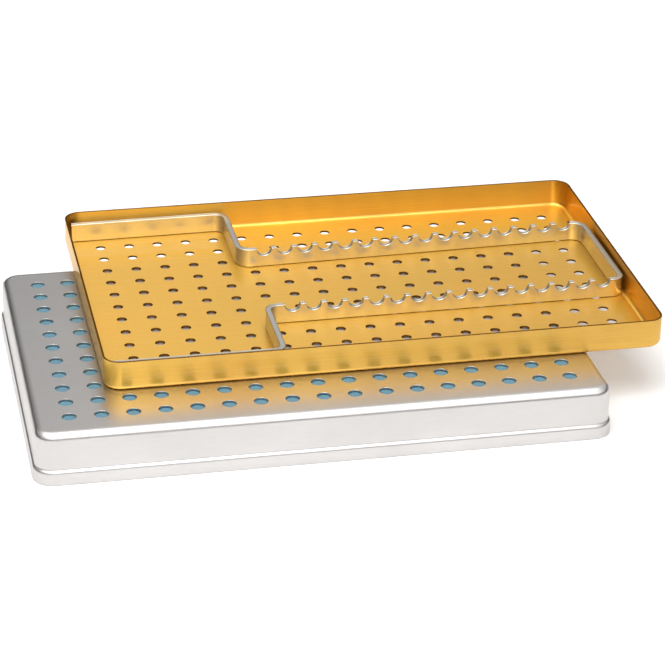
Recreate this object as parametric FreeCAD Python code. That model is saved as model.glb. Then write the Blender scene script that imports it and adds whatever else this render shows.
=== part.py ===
import FreeCAD, Part
import math
import os

# Perforated instrument tray with its rack and its lid, in millimetres.
# The tray stands on the lid, which lies open side down, and overhangs it to the right and
# to the back. X runs along the long side, Y away from the front, Z up. The origin is the
# middle of the whole set's outline on the surface that the lid stands on.

# Tray: one sheet drawn into a shallow pan
tray_length = 284.0
tray_width = 183.0
tray_height = 15.8
tray_sheet = 1.0
tray_corner_radius = 8.6
tray_edge_radius = 2.9

# Perforation, one grid for the tray's floor and the lid's top
hole_columns = 17
hole_rows = 11
hole_margin_x = 18.0
hole_margin_y = 17.3
tray_hole_diameter = 5.0
lid_hole_diameter = 7.0

# Lid: one sheet drawn deeper, with a rim stepped out to go over the tray
lid_height = 26.7
lid_sheet = 1.0
lid_corner_radius = 9.0
lid_edge_radius = 4.0
lid_clearance = 0.3
lid_rim_height = 5.7
lid_step_height = 2.4

# Place of the tray's middle, from the lid's middle
tray_shift_x = 38.05
tray_shift_y = 38.7

# Liner: a thin sheet flat against the underside of the lid's top, with its corners cut out and
# its four edges folded down
liner_sheet = 0.4
liner_clearance = 0.3
liner_skirt = 12.0

# Rack: one flat strip on edge, bent in plan into two wings and a long neck. Its two halves
# were bent by hand and differ a little, and the neck has sprung open towards the right.
strip_thickness = 3.0
strip_height = 10.0
rack_seat_gap = 0.3
rack_wing_end_gap = 2.6
rack_wing_back_gap = 2.3
rack_wing_front_gap = 7.5
rack_wing_drift = 1.1
rack_right_back_gap = 1.8
rack_right_front_gap = 1.5
rack_leg_back = 49.3
rack_leg_front = 49.8
rack_row_back = 191.7
rack_row_front = 189.7
rack_splay_back = 6.0
rack_splay_front = 1.4
bend_radius_back = 6.5
bend_radius_front = 5.5
bend_radius_right_back = 7.5
bend_radius_right_front = 4.5

# Notches that the instruments lie in, along both rows of the neck
notch_count = 16
notch_width = 8.0
notch_depth = 4.0
notch_leg_margin = 13.4
notch_right_margin = 10.9

# Flat sides that small round forms are drawn with: a hole, a notch's half round and a bend's
# quarter round across the sheet. Corners and bends in plan are true arcs.
hole_sides = 6
notch_sides = 9
bend_sides = 3

# Worked out from the sizes above
lid_length = tray_length
lid_width = tray_width
lid_step_out = lid_clearance + lid_sheet
lid_rim_length = lid_length + 2 * lid_step_out
lid_rim_width = lid_width + 2 * lid_step_out

POINT = FreeCAD.Vector


def quarter_bend(centre, radius, start_deg, end_deg):
    """Points along a bend of an upright section, about a (radius, height) centre."""
    points = []
    for side in range(bend_sides + 1):
        turn = math.radians(start_deg + (end_deg - start_deg) * side / bend_sides)
        points.append((centre[0] + radius * math.cos(turn), centre[1] + radius * math.sin(turn)))
    return points


def section_face(points):
    """The upright face inside a closed line of (radius, height) points."""
    corners = [POINT(radius, 0, height) for radius, height in points + points[:1]]
    return Part.Face(Part.makePolygon(corners))


def pan_section(corner_radius, edge_radius, sheet, height):
    """Half of a pan's section, from the corner's axis outwards: floor, bend and wall."""
    bend = (corner_radius - edge_radius, edge_radius)
    inner = corner_radius - sheet
    outside = [(0, 0)] + quarter_bend(bend, edge_radius, -90, 0) + [(corner_radius, height)]
    inside = [(inner, height)] + quarter_bend(bend, edge_radius - sheet, 0, -90) + [(0, sheet)]
    return section_face(outside + inside)


def lid_section():
    """Half of the lid's section, open side down: top, rounding, wall, sloped step and rim."""
    outer = lid_corner_radius
    inner = outer - lid_sheet
    rim = outer + lid_step_out
    bend = (outer - lid_edge_radius, lid_height - lid_edge_radius)
    step_top = lid_rim_height + lid_step_height
    # Inside, both creases of the step lie lower, so that the sheet keeps its thickness on the slope.
    drop = lid_sheet * math.tan(math.atan(lid_step_out / lid_step_height) / 2)
    outside = [(0, lid_height)] + quarter_bend(bend, lid_edge_radius, 90, 0)
    outside += [(outer, step_top), (rim, lid_rim_height), (rim, 0)]
    inside = [(rim - lid_sheet, 0), (rim - lid_sheet, lid_rim_height - drop), (inner, step_top - drop)]
    inside += quarter_bend(bend, lid_edge_radius - lid_sheet, 0, 90) + [(0, lid_height - lid_sheet)]
    return section_face(outside + inside)


def folded_pan(section, length, width, corner_radius, floor_height, sheet, closed_corners=True):
    """A pan: a floor with the section run along each side and, if closed, turned round each corner."""
    run_x = length - 2 * corner_radius
    run_y = width - 2 * corner_radius
    floor = Part.makeBox(run_x, run_y, sheet, POINT(-run_x / 2, -run_y / 2, floor_height))
    pieces = []
    for turn, side_run in ((0, run_y), (90, run_x), (180, run_y), (270, run_x)):
        across = run_x / 2 if turn in (0, 180) else run_y / 2
        placed = section.copy()
        placed.translate(POINT(across, -side_run / 2, 0))
        parts = [placed.extrude(POINT(0, side_run, 0))]
        if closed_corners:
            placed.translate(POINT(0, side_run, 0))
            parts.append(placed.revolve(POINT(across, side_run / 2, 0), POINT(0, 0, 1), 90))
        for piece in parts:
            piece.rotate(POINT(0, 0, 0), POINT(0, 0, 1), turn)
            pieces.append(piece)
    return floor.fuse(pieces).removeSplitter()


def hole_prism(diameter, height):
    """One punched hole as a short many-sided prism of the round hole's own area."""
    step = 2 * math.pi / hole_sides
    reach = diameter / 2 * math.sqrt(step / math.sin(step))
    corners = []
    for side in range(hole_sides + 1):
        angle = (side + 0.5) * step
        corners.append(POINT(reach * math.cos(angle), reach * math.sin(angle), 0))
    return Part.Face(Part.makePolygon(corners)).extrude(POINT(0, 0, height))


def hole_grid(length, width, diameter, floor_height, sheet):
    """The grid of holes through a sheet of the given height, evenly spaced between its margins."""
    pitch_x = (length - 2 * hole_margin_x) / (hole_columns - 1)
    pitch_y = (width - 2 * hole_margin_y) / (hole_rows - 1)
    prism = hole_prism(diameter, 3 * sheet)
    holes = []
    for column in range(hole_columns):
        for row in range(hole_rows):
            hole = prism.copy()
            across = hole_margin_x - length / 2 + column * pitch_x
            along = hole_margin_y - width / 2 + row * pitch_y
            hole.translate(POINT(across, along, floor_height - sheet))
            holes.append(hole)
    return Part.makeCompound(holes)


def make_tray():
    """The tray about its own middle, floor down, with its underside at height zero."""
    section = pan_section(tray_corner_radius, tray_edge_radius, tray_sheet, tray_height)
    pan = folded_pan(section, tray_length, tray_width, tray_corner_radius, 0, tray_sheet)
    return pan.cut(hole_grid(tray_length, tray_width, tray_hole_diameter, 0, tray_sheet))


def make_lid():
    """The lid about its own middle, open side down, standing on its rim."""
    top = lid_height - lid_sheet
    pan = folded_pan(lid_section(), lid_length, lid_width, lid_corner_radius, top, lid_sheet)
    return pan.cut(hole_grid(lid_length, lid_width, lid_hole_diameter, top, lid_sheet))


def make_liner():
    """The liner inside the lid: flat under its top, with four flaps down along its walls."""
    inset = lid_sheet + liner_clearance
    corner = lid_corner_radius - inset
    fold = lid_edge_radius - lid_sheet
    section = pan_section(corner, fold, liner_sheet, liner_skirt)
    size_x = lid_length - 2 * inset
    size_y = lid_width - 2 * inset
    liner = folded_pan(section, size_x, size_y, corner, 0, liner_sheet, closed_corners=False)
    liner.rotate(POINT(0, 0, 0), POINT(1, 0, 0), 180)
    liner.translate(POINT(0, 0, lid_height - lid_sheet))
    return liner


def rack_route():
    """The corners of the strip's middle line in plan, from the tray's middle, and its bends."""
    half = strip_thickness / 2
    wall_x = tray_length / 2 - tray_sheet
    wall_y = tray_width / 2 - tray_sheet
    wing_end = rack_wing_end_gap - wall_x
    wing_back = wall_y - rack_wing_back_gap - half
    wing_front = rack_wing_front_gap + half - wall_y
    right_back = wall_x - rack_right_back_gap - half
    right_front = wall_x - rack_right_front_gap - half
    leg_back = right_back - rack_row_back
    leg_front = right_front - rack_row_front
    neck_back = wing_back - rack_leg_back
    neck_front = wing_front + rack_leg_front
    route = [
        POINT(wing_end, wing_back - rack_wing_drift),
        POINT(leg_back, wing_back),
        POINT(leg_back, neck_back),
        POINT(right_back, neck_back + rack_splay_back),
        POINT(right_front, neck_front + rack_splay_front),
        POINT(leg_front, neck_front),
        POINT(leg_front, wing_front),
        POINT(wing_end, wing_front),
    ]
    back_bends = [bend_radius_back, bend_radius_back, bend_radius_right_back]
    front_bends = [bend_radius_right_front, bend_radius_front, bend_radius_front]
    return route, back_bends + front_bends


def heading(start, end):
    """The direction from one point in plan to another, and the direction to its left."""
    ahead = (end - start).normalize()
    return ahead, POINT(-ahead.y, ahead.x)


def strip_face(route, bends, offset):
    """One long face of the strip in plan, offset to the left of its middle line: edges and ends."""
    edges = []
    first = route[0] + heading(route[0], route[1])[1] * offset
    start = first
    for before, corner, after, bend in zip(route, route[1:], route[2:], bends):
        inward, left_in = heading(before, corner)
        outward, left_out = heading(corner, after)
        side = math.copysign(1, inward.cross(outward).z)
        centre = corner + (outward - inward).normalize() * (bend / math.cos(inward.getAngle(outward) / 2))
        reach = side * bend - offset
        bend_start = centre - left_in * reach
        bend_middle = centre - (left_in + left_out).normalize() * reach
        bend_end = centre - left_out * reach
        edges.append(Part.LineSegment(start, bend_start).toShape())
        edges.append(Part.Arc(bend_start, bend_middle, bend_end).toShape())
        start = bend_end
    last = route[-1] + heading(route[-2], route[-1])[1] * offset
    edges.append(Part.LineSegment(start, last).toShape())
    return edges, first, last


def notch_tool(place, along):
    """A round-bottomed notch through the strip at a place in plan on a row that runs along."""
    radius = notch_width / 2
    across = POINT(-along.y, along.x) * (2 * strip_thickness)
    middle = place - across / 2 + POINT(0, 0, strip_height - notch_depth + radius)
    outline = [middle + along * radius + POINT(0, 0, strip_height)]
    outline.append(middle - along * radius + POINT(0, 0, strip_height))
    for side in range(notch_sides + 1):
        turn = math.pi * (1 + side / notch_sides)
        outline.append(middle + along * (radius * math.cos(turn)) + POINT(0, 0, radius * math.sin(turn)))
    outline.append(outline[0])
    return Part.Face(Part.makePolygon(outline)).extrude(across)


def make_rack():
    """The notched strip about the tray's middle, standing at height zero."""
    route, bends = rack_route()
    left, left_first, left_last = strip_face(route, bends, strip_thickness / 2)
    right, right_first, right_last = strip_face(route, bends, -strip_thickness / 2)
    cut_ends = [
        Part.LineSegment(left_last, right_last).toShape(),
        Part.LineSegment(left_first, right_first).toShape(),
    ]
    outline = Part.Wire(Part.__sortEdges__(left + right + cut_ends))
    strip = Part.Face(outline).extrude(POINT(0, 0, strip_height))
    notches = []
    for leg_corner, right_corner in ((route[2], route[3]), (route[5], route[4])):
        along = heading(leg_corner, right_corner)[0]
        row = leg_corner.distanceToPoint(right_corner)
        pitch = (row - notch_leg_margin - notch_right_margin) / (notch_count - 1)
        for number in range(notch_count):
            notches.append(notch_tool(leg_corner + along * (notch_leg_margin + number * pitch), along))
    return strip.cut(notches)


def set_middle(lid_size, tray_size, shift):
    """The middle of the set's outline along one axis, from the lid's middle."""
    low = min(-lid_size / 2, shift - tray_size / 2)
    high = max(lid_size / 2, shift + tray_size / 2)
    return (low + high) / 2


def main():
    """Build the four pieces, put each at its place and write one file for each."""
    middle_x = set_middle(lid_rim_length, tray_length, tray_shift_x)
    middle_y = set_middle(lid_rim_width, tray_width, tray_shift_y)
    lid_place = POINT(-middle_x, -middle_y, 0)
    tray_place = lid_place + POINT(tray_shift_x, tray_shift_y, lid_height)
    rack_place = tray_place + POINT(0, 0, tray_sheet + rack_seat_gap)
    pieces = (
        ("tray_lid", make_lid(), lid_place),
        ("lid_liner", make_liner(), lid_place),
        ("instrument_tray", make_tray(), tray_place),
        ("instrument_rack", make_rack(), rack_place),
    )
    os.makedirs("parts", exist_ok=True)
    for name, shape, place in pieces:
        shape.translate(place)
        print(name, "solids:", len(shape.Solids), "valid:", shape.isValid())
        shape.exportStep("parts/" + name + ".step")


main()
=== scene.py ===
"""Looks of a perforated instrument tray with its rack, standing on its perforated lid.

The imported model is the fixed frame. Every visible piece is modelled around it in metres, in the
frame's own axes, and rides on the body that the frame names for it.
"""

import logging
import math
from dataclasses import dataclass, field
from enum import Enum

import bmesh
import bpy
from mathutils import Matrix, Vector, noise


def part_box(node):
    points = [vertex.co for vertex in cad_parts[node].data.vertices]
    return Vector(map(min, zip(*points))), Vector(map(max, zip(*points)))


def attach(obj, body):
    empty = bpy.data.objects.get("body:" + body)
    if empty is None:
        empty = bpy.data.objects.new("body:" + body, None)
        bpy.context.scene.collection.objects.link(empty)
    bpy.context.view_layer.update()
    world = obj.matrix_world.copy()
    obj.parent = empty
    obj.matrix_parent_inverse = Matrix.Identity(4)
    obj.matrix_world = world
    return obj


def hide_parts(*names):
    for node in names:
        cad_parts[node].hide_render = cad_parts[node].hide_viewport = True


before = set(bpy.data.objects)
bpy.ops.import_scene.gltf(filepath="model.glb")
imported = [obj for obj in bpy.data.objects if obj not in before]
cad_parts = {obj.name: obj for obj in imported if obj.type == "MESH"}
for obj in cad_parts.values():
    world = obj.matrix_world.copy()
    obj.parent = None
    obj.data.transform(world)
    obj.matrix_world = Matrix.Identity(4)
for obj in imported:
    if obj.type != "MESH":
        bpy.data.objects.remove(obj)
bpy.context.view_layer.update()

LOG = logging.getLogger("instrument_tray")
MM = 0.001
SHARP_EDGE_DEG = 32.0
BRUSH_MAP = "BrushMap"


def linear_colour(hex_code: str) -> tuple[float, float, float, float]:
    """Turn an sRGB hex colour into the linear values that the shaders take.

    Args:
        hex_code: Six hex digits, with or without a leading hash.

    Returns:
        Linear red, green and blue, and an alpha of one.
    """
    digits = hex_code.lstrip("#")
    channels = []
    for start in (0, 2, 4):
        value = int(digits[start:start + 2], 16) / 255
        channels.append(value / 12.92 if value <= 0.04045 else ((value + 0.055) / 1.055) ** 2.4)
    return channels[0], channels[1], channels[2], 1.0


def add_node(tree: bpy.types.NodeTree, kind: str, inputs: dict | None = None, **settings) -> bpy.types.Node:
    """Add one node with its settings and links.

    Args:
        tree: The node tree that gets it.
        kind: The node's type name.
        inputs: Socket name or number to a value, or to the output socket that feeds it.
        **settings: The node's own properties.

    Returns:
        The new node.
    """
    node = tree.nodes.new(kind)
    for name, value in settings.items():
        setattr(node, name, value)
    for socket, value in (inputs or {}).items():
        if isinstance(value, bpy.types.NodeSocket):
            tree.links.new(value, node.inputs[socket])
        else:
            node.inputs[socket].default_value = value
    return node


def new_material(name: str) -> tuple[bpy.types.Material, bpy.types.NodeTree, bpy.types.Node]:
    """Start an empty node material.

    Args:
        name: The material's name.

    Returns:
        The material, its node tree and its output node.
    """
    material = bpy.data.materials.new(name)
    material.use_nodes = True
    tree = material.node_tree
    tree.nodes.clear()
    return material, tree, add_node(tree, "ShaderNodeOutputMaterial")


class BrushRun(Enum):
    """Which way the fine lines of a rolled or brushed sheet run on its brush map."""

    ALONG = "along"
    NONE = "none"


@dataclass(frozen=True)
class BrushedMetal:
    """Aluminium sheet or strip whose finish is fine parallel lines, with light handling marks.

    The metal is fully metallic, and its index of refraction stays at the default. The lines of
    a real brushed face are about 0.05 mm apart, too fine to show in a render of the whole set,
    so they are drawn about ten times coarser, and the rest of their effect is in the roughness
    and the anisotropy, which smears what the face mirrors across the lines.
    """

    name: str
    colour: str
    dark_colour: str
    edge_tint: str
    roughness: float
    roughness_swing: float
    anisotropy: float
    brush_run: BrushRun
    line_spacing: float
    line_length: float
    line_depth: float
    mottle_size: float
    mottle_share: float
    sheet_wave_size: float
    sheet_wave_depth: float
    coat: float = 0.0
    coat_roughness: float = 0.15
    coat_ior: float = 1.62

    def material(self) -> bpy.types.Material:
        """Build the metal's material.

        Returns:
            The finished material.
        """
        material, tree, output = new_material(self.name)
        brush = add_node(tree, "ShaderNodeUVMap", uv_map=BRUSH_MAP).outputs["UV"]
        place = add_node(tree, "ShaderNodeTexCoord").outputs["Object"]
        along = 1 / self.line_length if self.brush_run is BrushRun.ALONG else 1 / self.line_spacing
        stretch = add_node(tree, "ShaderNodeMapping", {
            "Vector": brush, "Scale": (along, 1 / self.line_spacing, 1.0)})
        lines = add_node(tree, "ShaderNodeTexNoise", {
            "Vector": stretch.outputs["Vector"], "Scale": 1.0, "Detail": 4.0, "Roughness": 0.65})
        mottle = add_node(tree, "ShaderNodeTexNoise", {
            "Vector": place, "Scale": 1 / self.mottle_size, "Detail": 3.0, "Roughness": 0.55})
        shade = add_node(tree, "ShaderNodeMath", {
            0: lines.outputs["Fac"], 1: mottle.outputs["Fac"]}, operation="ADD")
        share = add_node(tree, "ShaderNodeMapRange", {
            "Value": shade.outputs[0], "From Min": 0.7, "From Max": 1.3,
            "To Min": 0.0, "To Max": self.mottle_share})
        tone = add_node(tree, "ShaderNodeMix", {
            "Factor": share.outputs["Result"], 6: linear_colour(self.colour),
            7: linear_colour(self.dark_colour)}, data_type="RGBA")
        rough = add_node(tree, "ShaderNodeMapRange", {
            "Value": shade.outputs[0], "From Min": 0.7, "From Max": 1.3,
            "To Min": self.roughness - self.roughness_swing,
            "To Max": self.roughness + self.roughness_swing})
        waves = add_node(tree, "ShaderNodeTexNoise", {
            "Vector": place, "Scale": 1 / self.sheet_wave_size, "Detail": 1.0})
        wave_bump = add_node(tree, "ShaderNodeBump", {
            "Height": waves.outputs["Fac"], "Strength": 1.0, "Distance": self.sheet_wave_depth})
        line_bump = add_node(tree, "ShaderNodeBump", {
            "Height": lines.outputs["Fac"], "Strength": 1.0, "Distance": self.line_depth,
            "Normal": wave_bump.outputs["Normal"]})
        metal = add_node(tree, "ShaderNodeBsdfPrincipled", {
            "Base Color": tone.outputs[2], "Metallic": 1.0, "Roughness": rough.outputs["Result"],
            "Specular Tint": linear_colour(self.edge_tint), "Anisotropic": self.anisotropy,
            "Anisotropic Rotation": 0.25, "Normal": line_bump.outputs["Normal"],
            "Coat Weight": self.coat, "Coat Roughness": self.coat_roughness,
            "Coat IOR": self.coat_ior})
        if self.anisotropy > 0:
            tangent = add_node(tree, "ShaderNodeTangent", direction_type="UV_MAP", uv_map=BRUSH_MAP)
            tree.links.new(tangent.outputs["Tangent"], metal.inputs["Tangent"])
        tree.links.new(metal.outputs["BSDF"], output.inputs["Surface"])
        return material


@dataclass(frozen=True)
class CrepeNonwoven:
    """Blue wrapping crepe: a matte, paper-like nonwoven of bonded fibres with a fine crinkle.

    It has no gloss, and its crinkle and the clouds of thicker fibre give it a soft, uneven blue.
    Its index of refraction is that of cellulose fibre in air, about 1.47.
    """

    name: str = "crepe_nonwoven"
    colour: str = "#5B8799"
    thin_colour: str = "#6C9AAD"
    crinkle_spacing: float = 0.9 * MM
    crinkle_depth: float = 0.12 * MM
    cloud_size: float = 9.0 * MM
    roughness: float = 0.92
    ior: float = 1.47

    def material(self) -> bpy.types.Material:
        """Build the crepe's material.

        Returns:
            The finished material.
        """
        material, tree, output = new_material(self.name)
        place = add_node(tree, "ShaderNodeTexCoord").outputs["Object"]
        clouds = add_node(tree, "ShaderNodeTexNoise", {
            "Vector": place, "Scale": 1 / self.cloud_size, "Detail": 4.0, "Roughness": 0.6})
        tone = add_node(tree, "ShaderNodeMix", {
            "Factor": clouds.outputs["Fac"], 6: linear_colour(self.colour),
            7: linear_colour(self.thin_colour)}, data_type="RGBA")
        crinkle = add_node(tree, "ShaderNodeTexNoise", {
            "Vector": place, "Scale": 1 / self.crinkle_spacing, "Detail": 5.0, "Roughness": 0.7,
            "Distortion": 0.6})
        bump = add_node(tree, "ShaderNodeBump", {
            "Height": crinkle.outputs["Fac"], "Strength": 1.0, "Distance": self.crinkle_depth})
        cloth = add_node(tree, "ShaderNodeBsdfPrincipled", {
            "Base Color": tone.outputs[2], "Roughness": self.roughness, "IOR": self.ior,
            "Sheen Weight": 0.15, "Sheen Roughness": 0.5, "Normal": bump.outputs["Normal"]})
        tree.links.new(cloth.outputs["BSDF"], output.inputs["Surface"])
        return material


# Gold anodised aluminium, bright dipped and brushed along the blank before it was drawn: a warm
# metal mirror that is broken up by the brushing, and deepens to brown where two walls mirror
# each other. The clear oxide film over the dye is the coat, with the index of alumina film.
GOLD_SHEET = BrushedMetal(
    name="gold_anodised_aluminium", colour="#EBBC4E", dark_colour="#D29B3A", edge_tint="#FFE7B0",
    roughness=0.39, roughness_swing=0.05, anisotropy=0.8, brush_run=BrushRun.ALONG,
    line_spacing=0.5 * MM, line_length=30 * MM, line_depth=0.006 * MM,
    mottle_size=45 * MM, mottle_share=0.7, sheet_wave_size=70 * MM, sheet_wave_depth=0.15 * MM,
    coat=0.6)

# The same sheet where sheared or punched: a matte edge whose dark brown is painted shade in the holes and darkens
# the rim's edge.
GOLD_EDGE_PAINTED_SHADE = BrushedMetal(
    name="gold_edge_painted_shade", colour="#86602E", dark_colour="#553A1A", edge_tint="#C09A60",
    roughness=0.5, roughness_swing=0.06, anisotropy=0.0, brush_run=BrushRun.NONE,
    line_spacing=0.4 * MM, line_length=0.4 * MM, line_depth=0.006 * MM,
    mottle_size=6 * MM, mottle_share=0.8, sheet_wave_size=12 * MM, sheet_wave_depth=0.02 * MM)

# Clear anodised aluminium, etched before anodising: a soft grey satin with a faint even grain.
SATIN_SHEET = BrushedMetal(
    name="satin_anodised_aluminium", colour="#D8D5D3", dark_colour="#CBC8C6", edge_tint="#F1F0EF",
    roughness=0.31, roughness_swing=0.03, anisotropy=0.0, brush_run=BrushRun.ALONG,
    line_spacing=0.7 * MM, line_length=12 * MM, line_depth=0.003 * MM,
    mottle_size=30 * MM, mottle_share=0.6, sheet_wave_size=60 * MM, sheet_wave_depth=0.12 * MM)

# The same lid sheet where it was trimmed or punched: duller, and a little darker.
SATIN_CUT_EDGE = BrushedMetal(
    name="satin_cut_edge", colour="#BDBDBA", dark_colour="#9C9C99", edge_tint="#E6E6E3",
    roughness=0.42, roughness_swing=0.05, anisotropy=0.0, brush_run=BrushRun.NONE,
    line_spacing=0.4 * MM, line_length=0.4 * MM, line_depth=0.004 * MM,
    mottle_size=6 * MM, mottle_share=0.8, sheet_wave_size=12 * MM, sheet_wave_depth=0.02 * MM)

# Bare rolled aluminium strip: bright, with fine rolling lines along it and cut notch edges.
ROLLED_STRIP = BrushedMetal(
    name="rolled_aluminium_strip", colour="#DCD8CF", dark_colour="#C9C4B8", edge_tint="#F6F4F0",
    roughness=0.33, roughness_swing=0.04, anisotropy=0.0, brush_run=BrushRun.ALONG,
    line_spacing=0.4 * MM, line_length=14 * MM, line_depth=0.003 * MM,
    mottle_size=14 * MM, mottle_share=0.6, sheet_wave_size=25 * MM, sheet_wave_depth=0.05 * MM)


class MeshBuilder:
    """Collects a piece's points, faces and brush map, and turns them into one object."""

    def __init__(self) -> None:
        """Start with nothing."""
        self.points: list[Vector] = []
        self.faces: list[tuple[int, ...]] = []
        self.maps: list[tuple[tuple[float, float], ...]] = []
        self.finishes: list[int] = []
        self.finish = 0

    def point(self, x: float, y: float, z: float) -> int:
        """Add a point and return its number."""
        self.points.append(Vector((x, y, z)))
        return len(self.points) - 1

    def face(self, corners: tuple[int, ...], brush: tuple[tuple[float, float], ...]) -> None:
        """Add a face with its brush map, one pair of lengths in metres for each corner."""
        self.faces.append(corners)
        self.maps.append(brush)
        self.finishes.append(self.finish)

    def level_face(self, corners: tuple[int, ...]) -> None:
        """Add a face whose brush map is simply its plan."""
        self.face(corners, tuple((self.points[i].x, self.points[i].y) for i in corners))

    def band(self, first: list[int], second: list[int], first_map: list, second_map: list) -> None:
        """Join two closed rings of points by quads.

        Args:
            first: The points of the first ring.
            second: As many points of the second ring.
            first_map: The brush map at each point of the first ring, with one more for the end.
            second_map: The same for the second ring.
        """
        count = len(first)
        for index in range(count):
            after = (index + 1) % count
            corners = (first[index], first[after], second[after], second[index])
            ends = (first_map[index], first_map[index + 1], second_map[index + 1], second_map[index])
            self.face(corners, ends)

    def to_object(self, name: str, *materials: bpy.types.Material) -> bpy.types.Object:
        """Make the object, with its normals pointing out and its corners kept crisp.

        Args:
            name: The piece's name.
            *materials: Its finishes, in the order of their numbers.

        Returns:
            The new object, linked to the scene.
        """
        mesh = bpy.data.meshes.new(name)
        mesh.from_pydata(self.points, [], self.faces)
        layer = mesh.uv_layers.new(name=BRUSH_MAP)
        flat = [value for brush in self.maps for pair in brush for value in pair]
        layer.data.foreach_set("uv", flat)
        for material in materials:
            mesh.materials.append(material)
        mesh.polygons.foreach_set("material_index", self.finishes)
        work = bmesh.new()
        work.from_mesh(mesh)
        bmesh.ops.recalc_face_normals(work, faces=work.faces)
        work.to_mesh(mesh)
        work.free()
        mesh.shade_smooth()
        mesh.set_sharp_from_angle(angle=math.radians(SHARP_EDGE_DEG))
        piece = bpy.data.objects.new(name, mesh)
        bpy.context.scene.collection.objects.link(piece)
        return piece


def arc_points(centre: tuple[float, float], radius: float, start: float, end: float, steps: int) -> list:
    """Points along an arc in a wall's section.

    Args:
        centre: The arc's centre, as distance outwards and depth.
        radius: Its radius.
        start: Where it starts, in degrees from straight out towards the open side.
        end: Where it ends.
        steps: How many chords it has.

    Returns:
        The points from start to end.
    """
    points = []
    for step in range(steps + 1):
        turn = math.radians(start + (end - start) * step / steps)
        points.append((centre[0] + radius * math.cos(turn), centre[1] + radius * math.sin(turn)))
    return points


@dataclass
class Perforation:
    """A grid of round punched holes with slightly broken edges."""

    columns: int
    rows: int
    margin_x: float
    margin_y: float
    diameter: float
    edge_break: float = 0.12 * MM
    steps_a_side: int = 9


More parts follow.
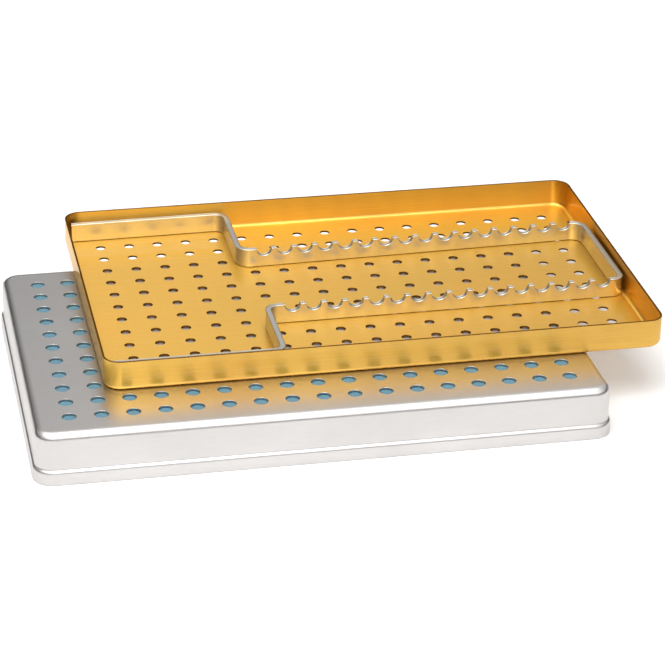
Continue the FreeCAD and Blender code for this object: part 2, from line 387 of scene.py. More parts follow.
@dataclass
class DrawnPan:
    """A pan drawn from one sheet, with a perforated flat, on a body of the frame.

    The wall's section is a list of points: how far out from the corner's axis, and how deep
    from the flat's outer face towards the open side.
    """

    name: str
    node: str
    body: str
    slot: str
    finish: BrushedMetal
    edge_finish: BrushedMetal
    holes: Perforation
    sheet: float
    corner_radius: float
    bend_radius: float
    open_up: bool
    rim_break: float = 0.22 * MM
    corner_steps: int = 14
    bend_steps: int = 8
    rim_steps: int = 3
    seam: float = 0.35 * MM
    centre: Vector = field(init=False)
    length: float = field(init=False)
    width: float = field(init=False)
    depth: float = field(init=False)

    def __post_init__(self) -> None:
        """Read the outline from the frame."""
        low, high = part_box(self.node)
        self.centre = (low + high) / 2
        self.length = high.x - low.x - 2 * self.rim_overhang()
        self.width = high.y - low.y - 2 * self.rim_overhang()
        self.depth = high.z - low.z
        self.flat_height = low.z if self.open_up else high.z

    def rim_overhang(self) -> float:
        """How far the rim stands out past the wall."""
        return 0.0

    def height(self, depth: float) -> float:
        """The height of a depth measured from the flat's outer face."""
        return self.flat_height + depth if self.open_up else self.flat_height - depth

    def outer_wall(self) -> list[tuple[float, float]]:
        """The outer face from the flat's bend to the start of the rim's edge."""
        bend = (self.corner_radius - self.bend_radius, self.bend_radius)
        return arc_points(bend, self.bend_radius, -90, 0, self.bend_steps)

    def inner_wall(self) -> list[tuple[float, float]]:
        """The inner face from the end of the rim's edge back to the flat's bend."""
        bend = (self.corner_radius - self.bend_radius, self.bend_radius)
        return arc_points(bend, self.bend_radius - self.sheet, 0, -90, self.bend_steps)

    def section(self) -> list[tuple[float, float]]:
        """The whole wall section, from the flat's outer face round the rim to its inner face.

        Returns:
            The section's points in order.
        """
        flat_end = self.corner_radius - self.bend_radius - self.seam
        rim_out = self.corner_radius + self.rim_overhang()
        rim_in = rim_out - self.sheet
        rim_depth = self.depth - self.rim_break
        rim = arc_points((rim_out - self.rim_break, rim_depth), self.rim_break, 0, 90, self.rim_steps)
        rim += arc_points((rim_in + self.rim_break, rim_depth), self.rim_break, 90, 180, self.rim_steps)
        wall = [(flat_end, 0.0)] + self.outer_wall() + rim + self.inner_wall()
        return wall + [(flat_end, self.sheet)]

    def ring(self, mesh: MeshBuilder, out: float, depth: float) -> list[int]:
        """Add one closed ring of the wall, anticlockwise from the front left corner's end.

        Args:
            mesh: The mesh that gets the points.
            out: How far out from the corner's axis the ring runs.
            depth: Its depth from the flat's outer face.

        Returns:
            The numbers of the ring's points.
        """
        return [mesh.point(x, y, self.height(depth)) for x, y in self.ring_plan(out)]

    def ring_plan(self, out: float) -> list[tuple[float, float]]:
        """The plan of a ring that runs the given distance out from the corners' axes."""
        run_x = self.length / 2 - self.corner_radius
        run_y = self.width / 2 - self.corner_radius
        steps_x = self.holes.columns * self.holes.steps_a_side
        steps_y = self.holes.rows * self.holes.steps_a_side
        plan = []
        for turn, half_run, across, steps in (
                (0, run_x, run_y, steps_x), (90, run_y, run_x, steps_y),
                (180, run_x, run_y, steps_x), (270, run_y, run_x, steps_y)):
            way = Matrix.Rotation(math.radians(turn), 2)
            for step in range(steps + 1):
                spot = way @ Vector((half_run * (2 * step / steps - 1), -across - out))
                plan.append((self.centre.x + spot.x, self.centre.y + spot.y))
            for step in range(1, self.corner_steps):
                angle = math.radians(-90 + 90 * step / self.corner_steps)
                spot = way @ Vector((half_run + out * math.cos(angle), -across + out * math.sin(angle)))
                plan.append((self.centre.x + spot.x, self.centre.y + spot.y))
        return plan

    def build_wall(self, mesh: MeshBuilder) -> tuple[list[int], list[int]]:
        """Add the wall, from the flat's outer face round the rim to its inner face.

        Args:
            mesh: The mesh that gets it.

        Returns:
            The first ring, on the outer face, and the last, on the inner one.
        """
        section = self.section()
        travelled = [0.0]
        for start, end in zip(section, section[1:]):
            travelled.append(travelled[-1] + math.dist(start, end))
        rim_start = 1 + len(self.outer_wall())
        rim_end = rim_start + 2 * self.rim_steps + 1
        rings, maps = [], []
        for (out, depth), place in zip(section, travelled):
            rings.append(self.ring(mesh, out, depth))
            # The sheet was brushed flat, so the map of the wall is the plan of the blank.
            blank = self.ring_plan(section[0][0] + min(place, travelled[-1] - place))
            maps.append(blank + blank[:1])
        for number in range(len(rings) - 1):
            # On the tray, the rim's edge takes the dark brown edge finish.
            mesh.finish = 1 if rim_start <= number < rim_end else 0
            mesh.band(rings[number], rings[number + 1], maps[number], maps[number + 1])
        mesh.finish = 0
        return rings[0], rings[-1]

    def build_flat(self, mesh: MeshBuilder, outer: list[int], inner: list[int]) -> None:
        """Add the perforated flat inside the wall's first and last rings.

        Args:
            mesh: The mesh that gets it.
            outer: The wall's ring on the flat's outer face.
            inner: The wall's ring on its inner face.
        """
        grids = []
        for ring, depth in ((outer, 0.0), (inner, self.sheet)):
            grid = self.lattice(mesh, depth)
            self.join_border(mesh, grid, ring)
            grids.append(grid)
        for column in range(self.holes.columns):
            for row in range(self.holes.rows):
                self.punch(mesh, grids[0], grids[1], column, row)

    def pitch(self) -> tuple[float, float]:
        """The hole grid's spacing along the length and across it."""
        pitch_x = (self.length - 2 * self.holes.margin_x) / (self.holes.columns - 1)
        pitch_y = (self.width - 2 * self.holes.margin_y) / (self.holes.rows - 1)
        return pitch_x, pitch_y

    def lattice(self, mesh: MeshBuilder, depth: float) -> dict[tuple[int, int], int]:
        """Add the points on the lines between the holes' cells.

        Args:
            mesh: The mesh that gets them.
            depth: Their depth from the flat's outer face.

        Returns:
            The points' numbers by their step along the length and across it.
        """
        steps = self.holes.steps_a_side
        pitch_x, pitch_y = self.pitch()
        start_x = self.centre.x - pitch_x * self.holes.columns / 2
        start_y = self.centre.y - pitch_y * self.holes.rows / 2
        grid = {}
        for a in range(self.holes.columns * steps + 1):
            for b in range(self.holes.rows * steps + 1):
                if a % steps == 0 or b % steps == 0:
                    x = start_x + pitch_x * a / steps
                    y = start_y + pitch_y * b / steps
                    grid[a, b] = mesh.point(x, y, self.height(depth))
        return grid

    def join_border(self, mesh: MeshBuilder, grid: dict[tuple[int, int], int], ring: list[int]) -> None:
        """Fill the plain border between the cells and a ring of the wall.

        Args:
            mesh: The mesh that gets the faces.
            grid: The cells' points.
            ring: The wall's ring.
        """
        last_a = self.holes.columns * self.holes.steps_a_side
        last_b = self.holes.rows * self.holes.steps_a_side
        sides = (
            [grid[a, 0] for a in range(last_a + 1)],
            [grid[last_a, b] for b in range(last_b + 1)],
            [grid[a, last_b] for a in range(last_a, -1, -1)],
            [grid[0, b] for b in range(last_b, -1, -1)],
        )
        place = 0
        for side in sides:
            for step in range(len(side) - 1):
                mesh.level_face((side[step], side[step + 1], ring[place + step + 1], ring[place + step]))
            place += len(side) - 1
            for step in range(self.corner_steps):
                after = (place + step + 1) % len(ring)
                mesh.level_face((side[-1], ring[after], ring[place + step]))
            place += self.corner_steps

    def punch(self, mesh: MeshBuilder, outer: dict, inner: dict, column: int, row: int) -> None:
        """Add one cell of the flat with its hole.

        Args:
            mesh: The mesh that gets it.
            outer: The cells' points on the flat's outer face.
            inner: The cells' points on its inner face.
            column: The hole's place along the length.
            row: The hole's place across it.
        """
        holes = self.holes
        steps = holes.steps_a_side
        pitch_x, pitch_y = self.pitch()
        x = self.centre.x + pitch_x * (column - (holes.columns - 1) / 2)
        y = self.centre.y + pitch_y * (row - (holes.rows - 1) / 2)
        a, b = column * steps, row * steps
        walk = [(a + s, b) for s in range(steps)]
        walk += [(a + steps, b + s) for s in range(steps)]
        walk += [(a + steps - s, b + steps) for s in range(steps)]
        walk += [(a, b + steps - s) for s in range(steps)]
        radius = holes.diameter / 2
        levels = (
            (radius + holes.edge_break, 0.0), (radius, holes.edge_break),
            (radius, self.sheet - holes.edge_break), (radius + holes.edge_break, self.sheet))
        rings = []
        count = len(walk)
        for reach, depth in levels:
            ring = []
            for step in range(count):
                turn = math.radians(-135 + 360 * step / count)
                spot_x, spot_y = x + reach * math.cos(turn), y + reach * math.sin(turn)
                ring.append(mesh.point(spot_x, spot_y, self.height(depth)))
            rings.append(ring)
        for step in range(count):
            after = (step + 1) % count
            mesh.level_face((outer[walk[step]], outer[walk[after]], rings[0][after], rings[0][step]))
            mesh.level_face((inner[walk[step]], inner[walk[after]], rings[3][after], rings[3][step]))
        around = [2 * math.pi * radius * step / count for step in range(count + 1)]
        # The hole's walls take the edge finish, which on the tray is dark brown painted shade.
        mesh.finish = 1
        for first, second, start, end in zip(rings, rings[1:], levels, levels[1:]):
            first_map = [(place, start[1]) for place in around]
            second_map = [(place, end[1]) for place in around]
            mesh.band(first, second, first_map, second_map)
        mesh.finish = 0

    def shape_sheet(self, mesh: MeshBuilder) -> None:
        """Leave the sheet as it was drawn."""

    def build(self) -> bpy.types.Object:
        """Build the pan, dress it and put it on its body.

        Returns:
            The finished piece.
        """
        mesh = MeshBuilder()
        outer, inner = self.build_wall(mesh)
        self.build_flat(mesh, outer, inner)
        self.shape_sheet(mesh)
        piece = mesh.to_object(self.name, self.finish.material(), self.edge_finish.material())
        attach(piece, self.body)
        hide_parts(self.node)
        LOG.info("%s: %d faces on body %s", self.name, len(mesh.faces), self.body)
        return piece


@dataclass
class SteppedLid(DrawnPan):
    """The lid, open side down, whose wall steps out near its rim to go over the tray."""

    step_out: float = 1.3 * MM
    step_height: float = 2.4 * MM
    rim_height: float = 5.7 * MM
    step_steps: int = 6
    waver_length: float = 34 * MM
    waver_depth: float = 0.16 * MM

    def rim_overhang(self) -> float:
        """How far the rim stands out past the wall."""
        return self.step_out

    def step_arcs(self, inner: bool) -> list[tuple[float, float]]:
        """The two arcs of the step on one face of the sheet, from the wall to the rim.

        Args:
            inner: Whether they are the inner face's.

        Returns:
            The points of both arcs.
        """
        turn = 2 * math.atan(self.step_out / self.step_height)
        middle = self.step_height / (2 * math.sin(turn))
        near = middle - self.sheet / 2
        far = middle + self.sheet / 2
        turn_deg = math.degrees(turn)
        start = self.depth - self.rim_height - self.step_height
        upper = (self.corner_radius + near, start)
        lower = (self.corner_radius + self.step_out - far, start + self.step_height)
        first_radius, second_radius = (far, near) if inner else (near, far)
        first = arc_points(upper, first_radius, 180, 180 - turn_deg, self.step_steps)
        second = arc_points(lower, second_radius, -turn_deg, 0, self.step_steps)
        return first + second[1:]

    def outer_wall(self) -> list[tuple[float, float]]:
        """The outer face from the flat's bend over the step to the rim."""
        return super().outer_wall() + self.step_arcs(inner=False)

    def inner_wall(self) -> list[tuple[float, float]]:
        """The inner face from the rim back over the step to the flat's bend."""
        return self.step_arcs(inner=True)[::-1] + super().inner_wall()

    def shape_sheet(self, mesh: MeshBuilder) -> None:
        """Let the stepped rim waver a little, as a drawn and trimmed sheet does.

        Args:
            mesh: The lid's mesh.
        """
        top = self.height(self.depth - self.rim_height - 2 * self.step_height)
        foot = self.height(self.depth)
        half_x, half_y = self.length / 2, self.width / 2
        for spot in mesh.points:
            if spot.z >= top:
                continue
            fade = math.sin(math.pi * (top - spot.z) / (top - foot))
            sway = self.waver_depth * fade * noise.noise(Vector((spot.x, spot.y, 0)) / self.waver_length)
            side = Vector(((spot.x - self.centre.x) / half_x, (spot.y - self.centre.y) / half_y))
            if abs(side.x) > abs(side.y):
                spot.x -= abs(sway) * math.copysign(1, side.x)
            else:
                spot.y -= abs(sway) * math.copysign(1, side.y)


@dataclass
class InstrumentRack:
    """The loose rack: one flat strip on edge, bent in plan, with notches along its long rows.

    Its bends repeat the CAD strip's route, taken from the tray's inner walls.
    """

    name: str = "notched_rack"
    node: str = "instrument_rack"
    body: str = "rack"
    slot: str = "rack_strip"
    finish: BrushedMetal = ROLLED_STRIP
    tray_sheet: float = 1.0 * MM
    thickness: float = 3.0 * MM
    edge_break: float = 0.3 * MM
    wing_end_gap: float = 2.6 * MM
    wing_back_gap: float = 2.3 * MM
    wing_front_gap: float = 7.5 * MM
    wing_drift: float = 1.1 * MM
    right_back_gap: float = 1.8 * MM
    right_front_gap: float = 1.5 * MM
    leg_back: float = 49.3 * MM
    leg_front: float = 49.8 * MM
    row_back: float = 191.7 * MM
    row_front: float = 189.7 * MM
    splay_back: float = 6.0 * MM
    splay_front: float = 1.4 * MM
    bend_back: float = 6.5 * MM
    bend_front: float = 5.5 * MM
    bend_right_back: float = 7.5 * MM
    bend_right_front: float = 4.5 * MM
    notch_count: int = 16
    notch_width: float = 8.0 * MM
    notch_depth: float = 4.0 * MM
    notch_leg_margin: float = 13.4 * MM
    notch_right_margin: float = 10.9 * MM
    notch_steps: int = 18
    bend_steps: int = 14
    edge_steps: int = 3

    def route(self) -> tuple[list[Vector], list[float]]:
        """The strip's middle line in plan.

        Returns:
            Its corners, and the radius of the bend at each inner corner.
        """
        low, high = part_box("instrument_tray")
        half = self.thickness / 2
        left, front = low.x + self.tray_sheet, low.y + self.tray_sheet
        right, back = high.x - self.tray_sheet, high.y - self.tray_sheet
        wing_end = left + self.wing_end_gap
        wing_back = back - self.wing_back_gap - half
        wing_front = front + self.wing_front_gap + half
        right_back = right - self.right_back_gap - half
        right_front = right - self.right_front_gap - half
        leg_back = right_back - self.row_back
        leg_front = right_front - self.row_front
        neck_back = wing_back - self.leg_back
        neck_front = wing_front + self.leg_front
        corners = [
            Vector((wing_end, wing_back - self.wing_drift)), Vector((leg_back, wing_back)),
            Vector((leg_back, neck_back)), Vector((right_back, neck_back + self.splay_back)),
            Vector((right_front, neck_front + self.splay_front)), Vector((leg_front, neck_front)),
            Vector((leg_front, wing_front)), Vector((wing_end, wing_front)),
        ]
        back_bends = [self.bend_back, self.bend_back, self.bend_right_back]
        return corners, back_bends + [self.bend_right_front, self.bend_front, self.bend_front]

    def stations(self) -> list[tuple[Vector, Vector, float, float]]:
        """Walk along the middle line.

        Returns:
            For each stop, its place, its direction to the left and the top edge's drop from the strip's full height,
            and in a notch its turn, its rim's reach, its middle and its direction, with nought outside the notches.
        """
        corners, bends = self.route()
        stops = []
        start = corners[0]
        for index, (before, corner, after) in enumerate(zip(corners, corners[1:], corners[2:])):
            inward = (corner - before).normalized()
            outward = (after - corner).normalized()
            turn = math.atan2(inward.x * outward.y - inward.y * outward.x, inward.dot(outward))
            reach = bends[index] * math.tan(abs(turn) / 2)
            entry = corner - inward * reach
            side = math.copysign(1, turn)
            left = Vector((-inward.y, inward.x))
            stops += self.straight(start, entry, left, corners, index)
            centre = entry + left * side * bends[index]
            for step in range(1, self.bend_steps):
                way = Matrix.Rotation(turn * step / self.bend_steps, 2)
                stops.append((centre - way @ left * side * bends[index], way @ left, 0.0, 0.0))
            start = corner + outward * reach
        ahead = (corners[-1] - start).normalized()
        stops += self.straight(start, corners[-1], Vector((-ahead.y, ahead.x)), corners, len(corners) - 2)
        return stops

    def straight(self, start: Vector, end: Vector, left: Vector, corners: list, index: int) -> list:
        """The stops of one straight run, with its notches if it is a long row.

        Args:
            start: Where the run starts.
            end: Where it ends.
            left: The direction to its left.
            corners: The route's corners.
            index: The run's number along the route.

        Returns:
            The run's stops.
        """
        rows = {2: (corners[2], corners[3]), 4: (corners[5], corners[4])}
        if index not in rows:
            return [(start, left, 0.0, 0.0), (end, left, 0.0, 0.0)]
        leg, right = rows[index]
        ahead = (end - start).normalized()
        row = (right - leg).length
        pitch = (row - self.notch_leg_margin - self.notch_right_margin) / (self.notch_count - 1)
        along = (right - leg).normalized()
        centres = [leg + along * (self.notch_leg_margin + pitch * k) for k in range(self.notch_count)]
        if along.dot(ahead) < 0:
            centres.reverse()
        stops = [(start, left, 0.0, 0.0)]
        for centre in centres:
            stops += self.notch(centre, ahead, left)
        return stops + [(end, left, 0.0, 0.0)]

    def notch(self, centre: Vector, ahead: Vector, left: Vector) -> list:
        """The stops across one half-round notch, with the broken edge around it.

        Args:
            centre: The notch's middle in plan.
            ahead: The direction of travel.
            left: The direction to its left.

        Returns:
            Its stops.
        """
        radius = self.notch_width / 2
        rim = math.sqrt((radius + self.edge_break) ** 2 - self.edge_break ** 2)
        stops = []
        for step in range(self.notch_steps + 1):
            turn = math.pi * step / self.notch_steps
            drop = radius * math.sin(turn)
            stops.append((centre - ahead * radius * math.cos(turn), left, drop, (turn, rim, centre, ahead)))
        return stops

    def build(self) -> bpy.types.Object:
        """Build the strip, dress it and put it on its body.

        Returns:
            The finished piece.
        """
        low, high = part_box(self.node)
        mesh = MeshBuilder()
        half = self.thickness / 2
        radius = self.notch_width / 2
        loops = []
        along = 0.0
        travelled = []
        last = None
        for place, left, drop, notch in self.stations():
            along += 0.0 if last is None else (place - last).length
            last = place
            travelled.append(along)
            loop = []
            for side in (1, -1):
                steps = range(self.edge_steps + 1)
                turns = [math.pi / 2 * step / self.edge_steps for step in steps]
                for turn in turns if side == 1 else turns[::-1]:
                    inset = self.edge_break * (1 - math.sin(math.pi / 2 - turn))
                    out = half - self.edge_break * (1 - math.sin(turn))
                    spot, height = place, high.z - drop - inset
                    if notch:
                        spot, height = self.inset_point(notch, inset, radius, high.z)
                    point = spot + left * side * out
                    loop.append((point, height))
            flipped = []
            for side in (-1, 1):
                steps = range(self.edge_steps + 1)
                turns = [math.pi / 2 * step / self.edge_steps for step in steps]
                for turn in turns[::-1] if side == -1 else turns:
                    inset = self.edge_break * (1 - math.sin(math.pi / 2 - turn))
                    out = half - self.edge_break * (1 - math.sin(turn))
                    flipped.append((place + left * side * out, low.z + inset))
            loops.append([mesh.point(p.x, p.y, h) for p, h in loop + flipped])
        self.skin(mesh, loops, travelled)
        piece = mesh.to_object(self.name, self.finish.material())
        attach(piece, self.body)
        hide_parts(self.node)
        LOG.info("%s: %d faces on body %s", self.name, len(mesh.faces), self.body)
        return piece

    def inset_point(self, notch: tuple, inset: float, radius: float, top: float) -> tuple[Vector, float]:
        """A point of the notch's edge, set back into the strip.

        Args:
            notch: The notch's turn at this stop, its rim's reach, its middle and its direction.
            inset: How far the point is set back.
            radius: The notch's radius.
            top: The height of the strip's top edge.

        Returns:
            The point in plan, and its height.
        """
        turn, _, centre, ahead = notch
        reach = radius + inset
        low_turn = math.asin(inset / reach)
        angle = low_turn + (math.pi - 2 * low_turn) * turn / math.pi
        return centre - ahead * reach * math.cos(angle), top - reach * math.sin(angle)

    def skin(self, mesh: MeshBuilder, loops: list[list[int]], along: list[float]) -> None:
        """Join the stops' loops into one skin and close both cut ends.

        Args:
            mesh: The strip's mesh.
            loops: The points around the strip at each stop.
            along: The distance travelled at each stop.
        """
        count = len(loops[0])
        around = [0.0]
        for index in range(count):
            gap = (mesh.points[loops[0][(index + 1) % count]] - mesh.points[loops[0][index]]).length
            around.append(around[-1] + gap)
        for first, second, start, end in zip(loops, loops[1:], along, along[1:]):
            for index in range(count):
                after = (index + 1) % count
                corners = (first[index], first[after], second[after], second[index])
                u, v = around[index], around[index + 1]
                mesh.face(corners, ((start, u), (start, v), (end, v), (end, u)))
        for loop in (loops[0], loops[-1]):
            mesh.face(tuple(loop), tuple((0.0, around[i]) for i in range(count)))


@dataclass
class LinerSheet:
    """The blue sheet inside the lid: flat under its top, corners cut out, edges folded down.

    It is cut as a cross, so that each of its four flaps folds down along one wall.
    """

    name: str = "crepe_liner"
    node: str = "lid_liner"
    body: str = "lid"
    slot: str = "liner"
    finish: CrepeNonwoven = CrepeNonwoven()
    thickness: float = 0.3 * MM
    corner_cut: float = 7.7 * MM
    fold_radius: float = 3.0 * MM
    fold_steps: int = 6
    cell: float = 2.4 * MM
    sag: float = 0.5 * MM
    sag_size: float = 26 * MM
    sag_fade: float = 8 * MM

    def build(self) -> bpy.types.Object:
        """Build the sheet, dress it and put it on its body.

        Returns:
            The finished piece.
        """
        low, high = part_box(self.node)
        mesh = MeshBuilder()
        self.skin(mesh, low, high, 0.0)
        points, faces = len(mesh.points), len(mesh.faces)
        self.skin(mesh, low, high, self.thickness)
        self.close_edges(mesh, points, faces)
        piece = mesh.to_object(self.name, self.finish.material())
        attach(piece, self.body)
        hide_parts(self.node)
        LOG.info("%s: %d faces on body %s", self.name, len(mesh.faces), self.body)
        return piece

    def skin(self, mesh: MeshBuilder, low: Vector, high: Vector, lift: float) -> None:
        """Add one face of the sheet.

        Args:
            mesh: The mesh that gets it.
            low: The low corner of the sheet's box.
            high: The high corner.
            lift: How far this face lies inside the outer one.
        """
        centre = (low + high) / 2
        run_x = (high.x - low.x) / 2 - self.corner_cut
        run_y = (high.y - low.y) / 2 - self.corner_cut
        across = round(2 * run_x / self.cell)
        deep = round(2 * run_y / self.cell)
        grid = {}
        for a in range(across + 1):
            for b in range(deep + 1):
                x, y = run_x * (2 * a / across - 1), run_y * (2 * b / deep - 1)
                sway = self.sag * (0.5 + 0.5 * noise.noise(Vector((x, y, 3 * MM)) / self.sag_size))
                edge = min(1.0, min(run_x - abs(x), run_y - abs(y)) / self.sag_fade)
                grid[a, b] = mesh.point(centre.x + x, centre.y + y, high.z - lift - sway * max(0.0, edge))
        for a in range(across):
            for b in range(deep):
                mesh.level_face((grid[a, b], grid[a + 1, b], grid[a + 1, b + 1], grid[a, b + 1]))
        fold = (self.corner_cut - self.fold_radius, high.z - self.fold_radius)
        section = arc_points(fold, self.fold_radius - lift, 90, 0, self.fold_steps)
        section.append((self.corner_cut - lift, low.z))
        sides = (
            ([grid[a, 0] for a in range(across + 1)], (0, -1)),
            ([grid[across, b] for b in range(deep + 1)], (1, 0)),
            ([grid[a, deep] for a in range(across, -1, -1)], (0, 1)),
            ([grid[0, b] for b in range(deep, -1, -1)], (-1, 0)),
        )
        for row, way in sides:
            for out, height in section:
                following = []
                for index in row:
                    spot = mesh.points[index]
                    x = centre.x + way[0] * (run_x + out) if way[0] else spot.x
                    y = centre.y + way[1] * (run_y + out) if way[1] else spot.y
                    following.append(mesh.point(x, y, height))
                for step in range(len(row) - 1):
                    mesh.level_face((row[step], row[step + 1], following[step + 1], following[step]))
                row = following

    def close_edges(self, mesh: MeshBuilder, points: int, faces: int) -> None:
        """Join the two faces of the sheet along its cut edges.

        Args:
            mesh: The mesh with both faces.
            points: How many points one face has.
            faces: How many small faces one face has.
        """
        edges: dict[tuple[int, int], int] = {}
        for corners in mesh.faces[:faces]:
            for start, end in zip(corners, corners[1:] + corners[:1]):
                key = (min(start, end), max(start, end))
                edges[key] = edges.get(key, 0) + 1
        for (start, end), uses in edges.items():
            if uses == 1:
                mesh.level_face((start, end, end + points, start + points))


@dataclass
class Studio:
    """The pale floor, the soft lights, the cards round the table that glow with painted light for the metal to
    mirror, and the camera.
    """

    floor_size: float = 14.0
    floor_colour: str = "#F4F4F4"
    card_radius: float = 1.9
    card_top_deg: float = 50.0
    # The cards' glow by height and by side is painted light: dark low down, bright up high and brightest in front.
    card_by_height: tuple = ((0.0, 0.04), (0.25, 0.06), (0.34, 0.8), (0.41, 1.0), (1.0, 1.1))
    # From the front round by the left, the back and the right to the front again.
    card_by_side: tuple = (
        (0.0, 2.2), (0.25, 0.55), (0.44, 0.36), (0.485, 0.5), (0.512, 0.72), (0.56, 0.66),
        (0.75, 0.6), (1.0, 2.2))
    camera_place: tuple[float, float, float] = (-246.06 * MM, -1178.45 * MM, 613.09 * MM)
    camera_tilt_deg: float = 26.456
    camera_turn_deg: float = 12.030
    camera_roll_deg: float = 1.000
    focal_px: float = 2582.4
    photo_px: float = 665.0
    sensor_mm: float = 36.0

    def build(self) -> None:
        """Build the whole studio."""
        self.add_floor()
        self.add_cards()
        self.add_lights()
        self.add_world()
        self.add_camera()
        bpy.context.scene.view_settings.view_transform = "Standard"
        LOG.info("studio ready")

    def seen_directly(self, tree: bpy.types.NodeTree) -> bpy.types.NodeSocket:
        """One for what the camera sees itself, in a metal or through glass, and nought otherwise."""
        path = add_node(tree, "ShaderNodeLightPath")
        mirrored = add_node(tree, "ShaderNodeMath", {
            0: path.outputs["Is Camera Ray"], 1: path.outputs["Is Glossy Ray"]}, operation="MAXIMUM")
        seen = add_node(tree, "ShaderNodeMath", {
            0: mirrored.outputs[0], 1: path.outputs["Is Transmission Ray"]}, operation="MAXIMUM")
        return seen.outputs[0]

    def add_floor(self) -> None:
        """A plain pale floor that stays white where it is open and keeps the set's shadow."""
        half = self.floor_size / 2
        mesh = bpy.data.meshes.new("studio_floor")
        corners = [(-half, -half, 0), (half, -half, 0), (half, half, 0), (-half, half, 0)]
        mesh.from_pydata(corners, [], [(0, 1, 2, 3)])
        floor = bpy.data.objects.new("studio_floor", mesh)
        bpy.context.scene.collection.objects.link(floor)
        material, tree, output = new_material("studio_floor_paint")
        paint = add_node(tree, "ShaderNodeBsdfDiffuse", {"Color": linear_colour(self.floor_colour)})
        glow = add_node(tree, "ShaderNodeMath", {0: self.seen_directly(tree), 1: 0.22}, operation="MULTIPLY")
        lift = add_node(tree, "ShaderNodeEmission", {"Strength": glow.outputs[0]})
        both = add_node(tree, "ShaderNodeAddShader", {0: paint.outputs[0], 1: lift.outputs[0]})
        tree.links.new(both.outputs[0], output.inputs["Surface"])
        mesh.materials.append(material)

    def add_cards(self) -> None:
        """A ring of cards round the table that glow with painted light, dark low down and brightest in front, which
        the metal mirrors below the bright cove.
        """
        steps = 96
        rise = self.card_radius * math.tan(math.radians(self.card_top_deg))
        points = []
        for step in range(steps):
            turn = 2 * math.pi * step / steps
            x, y = self.card_radius * math.cos(turn), self.card_radius * math.sin(turn)
            points += [(x, y, 0.0), (x, y, rise)]
        faces = []
        for step in range(steps):
            after = (step + 1) % steps
            faces.append((2 * step, 2 * after, 2 * after + 1, 2 * step + 1))
        mesh = bpy.data.meshes.new("studio_cards")
        mesh.from_pydata(points, [], faces)
        cards = bpy.data.objects.new("studio_cards", mesh)
        bpy.context.scene.collection.objects.link(cards)
        material, tree, output = new_material("studio_card_painted_glow")
        place = add_node(tree, "ShaderNodeSeparateXYZ", {
            0: add_node(tree, "ShaderNodeTexCoord").outputs["Object"]})
        height = add_node(tree, "ShaderNodeMapRange", {
            "Value": place.outputs["Z"], "From Min": 0.0, "From Max": rise})
        turn = add_node(tree, "ShaderNodeMath", {
            0: place.outputs["X"], 1: place.outputs["Y"]}, operation="ARCTAN2")
        side = add_node(tree, "ShaderNodeMapRange", {
            "Value": turn.outputs[0], "From Min": -math.pi, "From Max": math.pi})
        upwards = self.grey_ramp(tree, height.outputs["Result"], self.card_by_height)
        around = self.grey_ramp(tree, side.outputs["Result"], self.card_by_side)
        # Painted light: the glow is dark low down and brightest in front.
        grey = add_node(tree, "ShaderNodeMath", {0: upwards, 1: around}, operation="MULTIPLY")
        card_glow = add_node(tree, "ShaderNodeEmission", {"Strength": grey.outputs[0]})
        tree.links.new(card_glow.outputs[0], output.inputs["Surface"])
        mesh.materials.append(material)
        cards.visible_camera = False
        cards.visible_diffuse = False
        cards.visible_shadow = False

    def grey_ramp(self, tree: bpy.types.NodeTree, share: bpy.types.NodeSocket, stops: tuple) -> bpy.types.NodeSocket:
        """A run of greys.

        Args:
            tree: The node tree that gets it.
            share: What it is read by, from nought to one.
            stops: Pairs of a place on the run and its grey, in order.

        Returns:
            The grey's output.
        """
        ramp = add_node(tree, "ShaderNodeValToRGB", {"Fac": share})
        elements = ramp.color_ramp.elements
        while len(elements) < len(stops):
            elements.new(0.5)
        for element, (position, grey) in zip(elements, stops):
            element.position = position
            element.color = (grey, grey, grey, 1.0)
        return ramp.outputs["Color"]

    def add_lights(self) -> None:
        """One large overhead softbox and one low one in front."""
        self.softbox("overhead_softbox", (-0.3, -0.35, 1.9), (0, 0.05, 0), 1.8, 34.0)
        self.softbox("front_softbox", (-0.5, -2.2, 0.75), (0, 0, 0.03), 1.0, 7.0)

    def softbox(self, name: str, place: tuple, aim: tuple, size: float, power: float) -> None:
        """Add one square softbox.

        Args:
            name: Its name.
            place: Where it hangs.
            aim: The point that it faces.
            size: Its side, in metres.
            power: Its power, in watts.
        """
        lamp = bpy.data.lights.new(name, "AREA")
        lamp.shape = "SQUARE"
        lamp.size = size
        lamp.energy = power
        softbox = bpy.data.objects.new(name, lamp)
        softbox.location = place
        softbox.rotation_euler = (Vector(aim) - Vector(place)).to_track_quat("-Z", "Y").to_euler()
        bpy.context.scene.collection.objects.link(softbox)

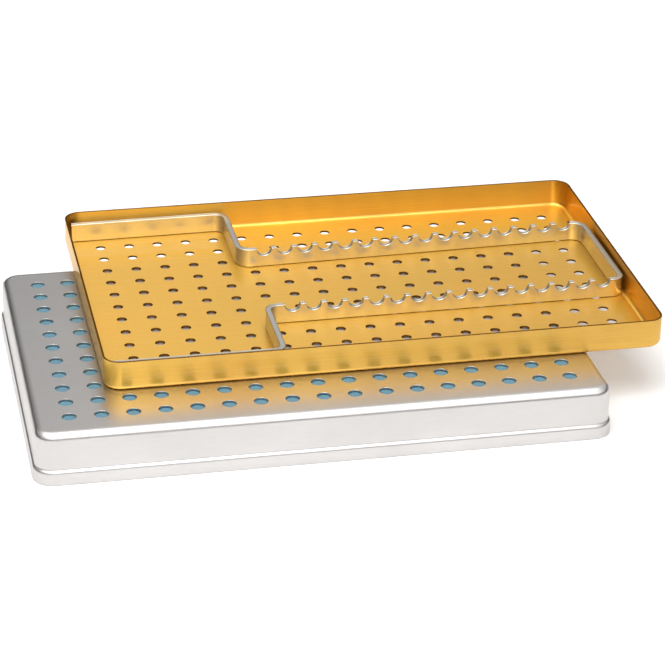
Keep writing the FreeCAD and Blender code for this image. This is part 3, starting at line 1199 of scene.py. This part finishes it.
    def add_world(self) -> None:
        """A white cove, as bright as white where it is seen and softer where it only lights."""
        world = bpy.data.worlds.new("studio_world")
        bpy.context.scene.world = world
        world.use_nodes = True
        tree = world.node_tree
        tree.nodes.clear()
        strength = add_node(tree, "ShaderNodeMapRange", {
            "Value": self.seen_directly(tree), "To Min": 0.38, "To Max": 1.0})
        cove = add_node(tree, "ShaderNodeBackground", {
            "Color": (1.0, 1.0, 1.0, 1.0), "Strength": strength.outputs["Result"]})
        output = add_node(tree, "ShaderNodeOutputWorld")
        tree.links.new(cove.outputs[0], output.inputs["Surface"])

    def add_camera(self) -> None:
        """The camera at the photograph's place, angle and field of view."""
        camera = bpy.data.cameras.new("photo_camera")
        camera.sensor_width = self.sensor_mm
        camera.lens = self.focal_px / self.photo_px * self.sensor_mm
        view = bpy.data.objects.new("photo_camera", camera)
        turn = Matrix.Rotation(math.radians(-self.camera_turn_deg), 4, "Z")
        tilt = Matrix.Rotation(math.radians(90 - self.camera_tilt_deg), 4, "X")
        roll = Matrix.Rotation(math.radians(self.camera_roll_deg), 4, "Z")
        view.matrix_world = Matrix.Translation(self.camera_place) @ turn @ tilt @ roll
        bpy.context.scene.collection.objects.link(view)
        bpy.context.scene.camera = view


def main() -> None:
    """Build every piece in order, then the studio."""
    logging.basicConfig(level=logging.INFO, format="%(name)s: %(message)s")
    tray_holes = Perforation(columns=17, rows=11, margin_x=18 * MM, margin_y=17.3 * MM, diameter=5 * MM)
    lid_holes = Perforation(columns=17, rows=11, margin_x=18 * MM, margin_y=17.3 * MM, diameter=7 * MM)
    # The tray's edge finish paints shade in dark brown on its hole walls and darkens its rim's edge.
    DrawnPan(
        name="gold_tray", node="instrument_tray", body="tray", slot="tray_sheet",
        finish=GOLD_SHEET, edge_finish=GOLD_EDGE_PAINTED_SHADE,
        holes=tray_holes, sheet=1.0 * MM, corner_radius=8.6 * MM, bend_radius=2.9 * MM, open_up=True).build()
    InstrumentRack().build()
    SteppedLid(
        name="satin_lid", node="tray_lid", body="lid", slot="lid_sheet",
        finish=SATIN_SHEET, edge_finish=SATIN_CUT_EDGE,
        holes=lid_holes, sheet=1.0 * MM, corner_radius=9.0 * MM, bend_radius=4.0 * MM, open_up=False).build()
    LinerSheet().build()
    Studio().build()


if __name__ == "__main__":
    main()
